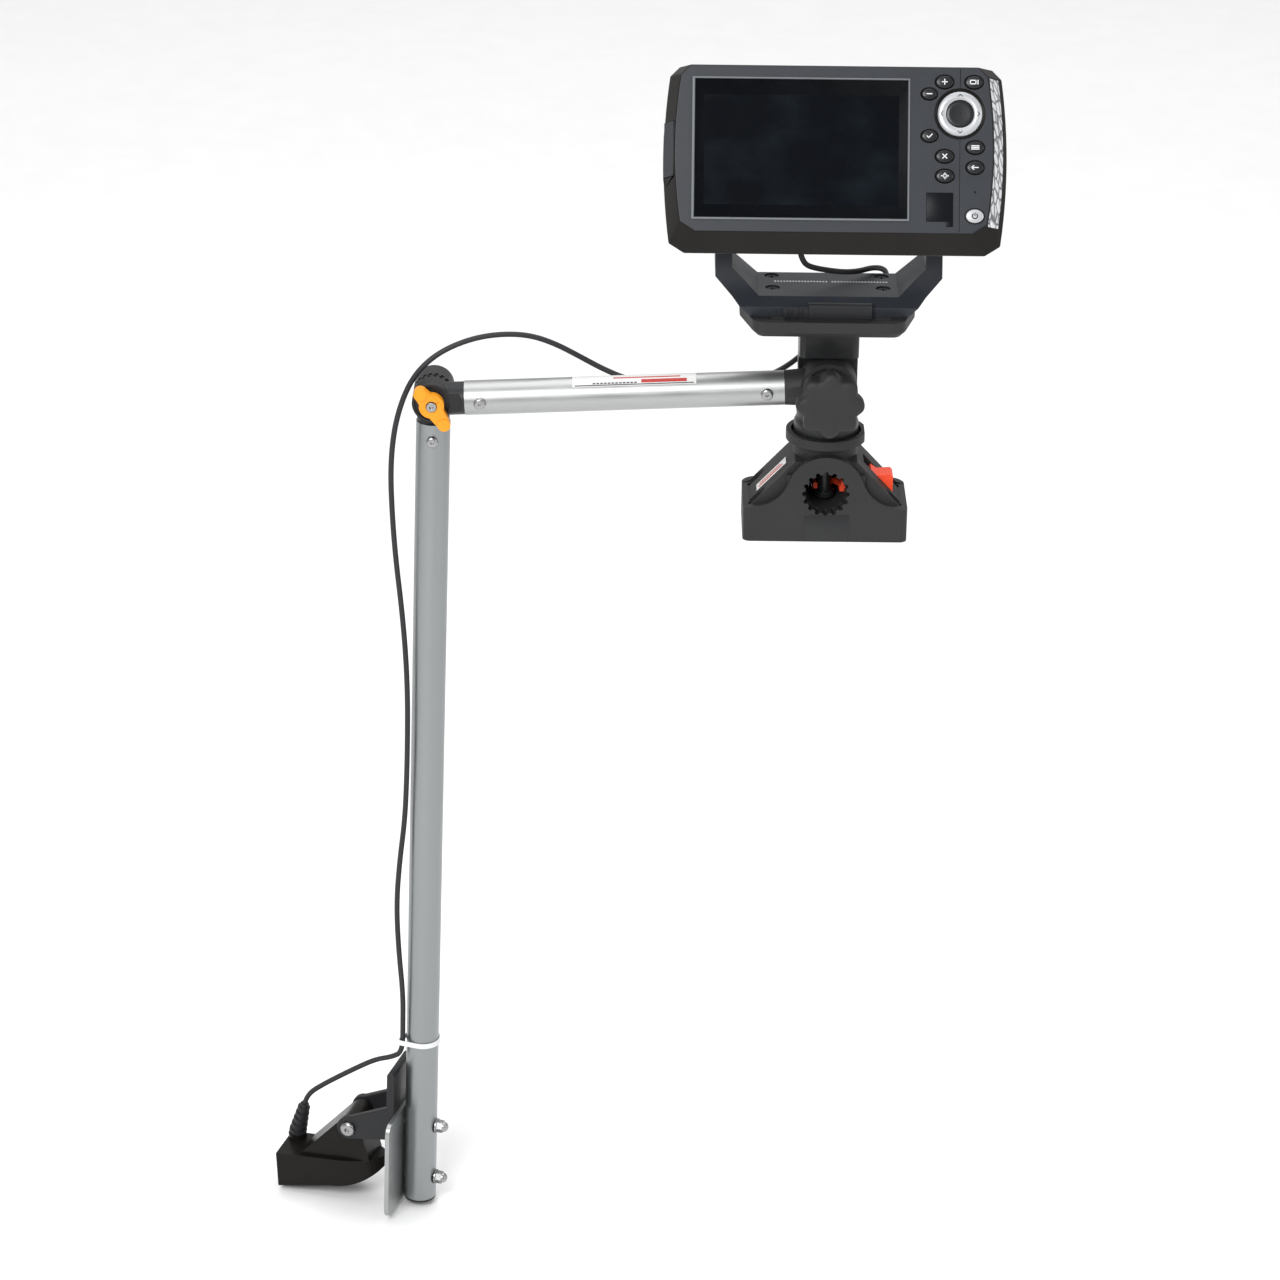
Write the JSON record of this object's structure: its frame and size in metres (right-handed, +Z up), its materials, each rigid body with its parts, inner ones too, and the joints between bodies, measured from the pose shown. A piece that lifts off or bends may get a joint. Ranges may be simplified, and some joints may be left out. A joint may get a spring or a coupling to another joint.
{
  "type": "fish finder",
  "caption": "Fish finder rig: a keypad screen unit on a tilting bracket over a socket base, with a swinging arm and a mast that carry a hinged transducer on its cable.",
  "frame": {"origin": "centre of the base's underside, in the middle of its four slots", "axes": "+X to the right of someone facing the screen, +Y away from them, +Z up"},
  "size_m": [0.4759, 0.1098, 0.8284],
  "materials": {
    "charcoal_plastic": "fine grained charcoal moulding",
    "arm_black": "black moulded joint pieces, satin",
    "case_black": "satin black painted case",
    "gloss_black": "gloss black",
    "aluminium": "satin anodised tube and brushed plate",
    "steel": "bright stainless fixings",
    "black_steel": "blackened screws",
    "orange_lever": "orange-yellow moulding",
    "red_lock": "red-orange moulding",
    "lip_grey": "grey lip round the window",
    "screen_glass": "dark gloss cover",
    "panel": "dark display panel",
    "silver_plastic": "silver key plastic",
    "key_rubber": "dark keys",
    "seal_rubber": "black rubber",
    "board": "green board with dark chips",
    "clear_tie": "translucent nylon",
    "lead_rubber": "dark grey cable"
  },
  "bodies": {
    "base": {"base_housing": "charcoal_plastic", "lock_spring": "steel"},
    "lock": {"lock_button": "red_lock"},
    "post": {"post": "gloss_black", "shoulder_bolt": "steel", "platform_plate": "charcoal_plastic", "platform_screws": "steel", "gimbal_bracket": "case_black", "bracket_screws": "black_steel", "catch_block": "arm_black", "lead_shoulder": "lead_rubber"},
    "knob": {"star_knob": "charcoal_plastic", "knob_insert": "steel"},
    "arm": {"arm_hub": "charcoal_plastic", "arm_tube": "aluminium", "arm_elbow": "arm_black", "arm_screws": "steel", "elbow_bolt": "steel", "elbow_nut": "steel", "lead_elbow": "lead_rubber"},
    "lever": {"elbow_lever": "orange_lever"},
    "mast": {"mast_elbow": "arm_black", "mast_tube": "aluminium", "mast_screw": "steel", "mast_end_plug": "arm_black", "cable_tie": "clear_tie", "foot_plate": "aluminium", "foot_bolts": "steel", "acorn_nuts": "steel", "transducer_bracket": "arm_black", "hinge_bolt": "steel", "hinge_nut": "steel", "lead_mast": "lead_rubber", "lead_foot": "lead_rubber"},
    "transducer": {"transducer_body": "gloss_black", "transducer_element": "silver_plastic", "transducer_boot": "seal_rubber"},
    "screen": {"front_case": "case_black", "rear_case": "case_black", "screen_frame": "lip_grey", "screen_glass": "screen_glass", "screen_panel": "panel", "main_board": "board", "keypad_mat": "seal_rubber", "case_gasket": "seal_rubber", "lead_plug": "seal_rubber", "lead_screen": "lead_rubber"},
    "nav": {"nav_pad": "silver_plastic"},
    "door": {"card_door": "case_black"},
    "knob_left": {"gimbal_knob_left": "arm_black"},
    "knob_right": {"gimbal_knob_right": "arm_black"},
    "key_plus": {"key_plus": "key_rubber"},
    "key_minus": {"key_minus": "key_rubber"},
    "key_view": {"key_view": "key_rubber"},
    "key_check": {"key_check": "key_rubber"},
    "key_menu": {"key_menu": "key_rubber"},
    "key_mark": {"key_mark": "key_rubber"},
    "key_exit": {"key_exit": "key_rubber"},
    "key_goto": {"key_goto": "key_rubber"},
    "key_power": {"key_power": "silver_plastic"}
  },
  "joints": [
    {"name": "lock_slide", "type": "slide", "parent": "base", "child": "lock", "axis": [-1, 0, 0], "range_m": [0, 0.0025], "stiffness_N_per_m": 600, "springref_m": -0.002, "deforming": ["lock_spring"]},
    {"name": "post_swivel", "type": "hinge", "parent": "base", "child": "post", "pos_m": [0, 0, 0.064], "axis": [0, 0, 1], "continuous": true},
    {"name": "knob_spin", "type": "hinge", "parent": "post", "child": "knob", "pos_m": [0, -0.039, 0.102], "axis": [0, 1, 0], "continuous": true},
    {"name": "arm_swing", "type": "hinge", "parent": "post", "child": "arm", "pos_m": [0, -0.01315, 0.102], "axis": [0, 1, 0], "range_deg": [-22, 23], "deforming": ["lead_shoulder"]},
    {"name": "mast_swing", "type": "hinge", "parent": "arm", "child": "mast", "pos_m": [-0.25272, 0.0057, 0.09021], "axis": [0, 1, 0], "range_deg": [-45, 90], "deforming": ["lead_elbow"]},
    {"name": "lever_turn", "type": "hinge", "parent": "arm", "child": "lever", "pos_m": [-0.25272, -0.027, 0.09021], "axis": [0, 1, 0], "range_deg": [0, 120]},
    {"name": "transducer_tilt", "type": "hinge", "parent": "mast", "child": "transducer", "pos_m": [-0.31247, 0.01874, -0.45792], "axis": [0.2755, 0.9613, -0.0072], "range_deg": [-12, 18], "deforming": ["lead_foot"]},
    {"name": "display_tilt", "type": "hinge", "parent": "post", "child": "screen", "pos_m": [-0.002, 0, 0.2385], "axis": [-1, 0, 0], "range_deg": [-22, 22], "deforming": ["lead_screen"]},
    {"name": "knob_left_spin", "type": "hinge", "parent": "screen", "child": "knob_left", "pos_m": [-0.08, 0, 0.2385], "axis": [1, 0, 0], "continuous": true},
    {"name": "knob_right_spin", "type": "hinge", "parent": "screen", "child": "knob_right", "pos_m": [0.076, 0, 0.2385], "axis": [1, 0, 0], "continuous": true},
    {"name": "nav_press", "type": "slide", "parent": "screen", "child": "nav", "axis": [0, 0.8988, -0.4384], "range_m": [0, 0.0006], "stiffness_N_per_m": 500, "springref_m": -0.0005},
    {"name": "door_turn", "type": "hinge", "parent": "screen", "child": "door", "pos_m": [-0.10693, -0.02582, 0.26106], "axis": [0, -0.4384, -0.8988], "range_deg": [0, 100]},
    {"name": "key_plus_press", "type": "slide", "parent": "screen", "child": "key_plus", "axis": [0, 0.8988, -0.4384], "range_m": [0, 0.0008], "stiffness_N_per_m": 400, "springref_m": -0.0005},
    {"name": "key_minus_press", "type": "slide", "parent": "screen", "child": "key_minus", "axis": [0, 0.8988, -0.4384], "range_m": [0, 0.0008], "stiffness_N_per_m": 400, "springref_m": -0.0005},
    {"name": "key_view_press", "type": "slide", "parent": "screen", "child": "key_view", "axis": [0, 0.8988, -0.4384], "range_m": [0, 0.0008], "stiffness_N_per_m": 400, "springref_m": -0.0005},
    {"name": "key_check_press", "type": "slide", "parent": "screen", "child": "key_check", "axis": [0, 0.8988, -0.4384], "range_m": [0, 0.0008], "stiffness_N_per_m": 400, "springref_m": -0.0005},
    {"name": "key_menu_press", "type": "slide", "parent": "screen", "child": "key_menu", "axis": [0, 0.8988, -0.4384], "range_m": [0, 0.0008], "stiffness_N_per_m": 400, "springref_m": -0.0005},
    {"name": "key_mark_press", "type": "slide", "parent": "screen", "child": "key_mark", "axis": [0, 0.8988, -0.4384], "range_m": [0, 0.0008], "stiffness_N_per_m": 400, "springref_m": -0.0005},
    {"name": "key_exit_press", "type": "slide", "parent": "screen", "child": "key_exit", "axis": [0, 0.8988, -0.4384], "range_m": [0, 0.0008], "stiffness_N_per_m": 400, "springref_m": -0.0005},
    {"name": "key_goto_press", "type": "slide", "parent": "screen", "child": "key_goto", "axis": [0, 0.8988, -0.4384], "range_m": [0, 0.0008], "stiffness_N_per_m": 400, "springref_m": -0.0005},
    {"name": "key_power_press", "type": "slide", "parent": "screen", "child": "key_power", "axis": [0, 0.8988, -0.4384], "range_m": [0, 0.0008], "stiffness_N_per_m": 400, "springref_m": -0.0005}
  ]
}
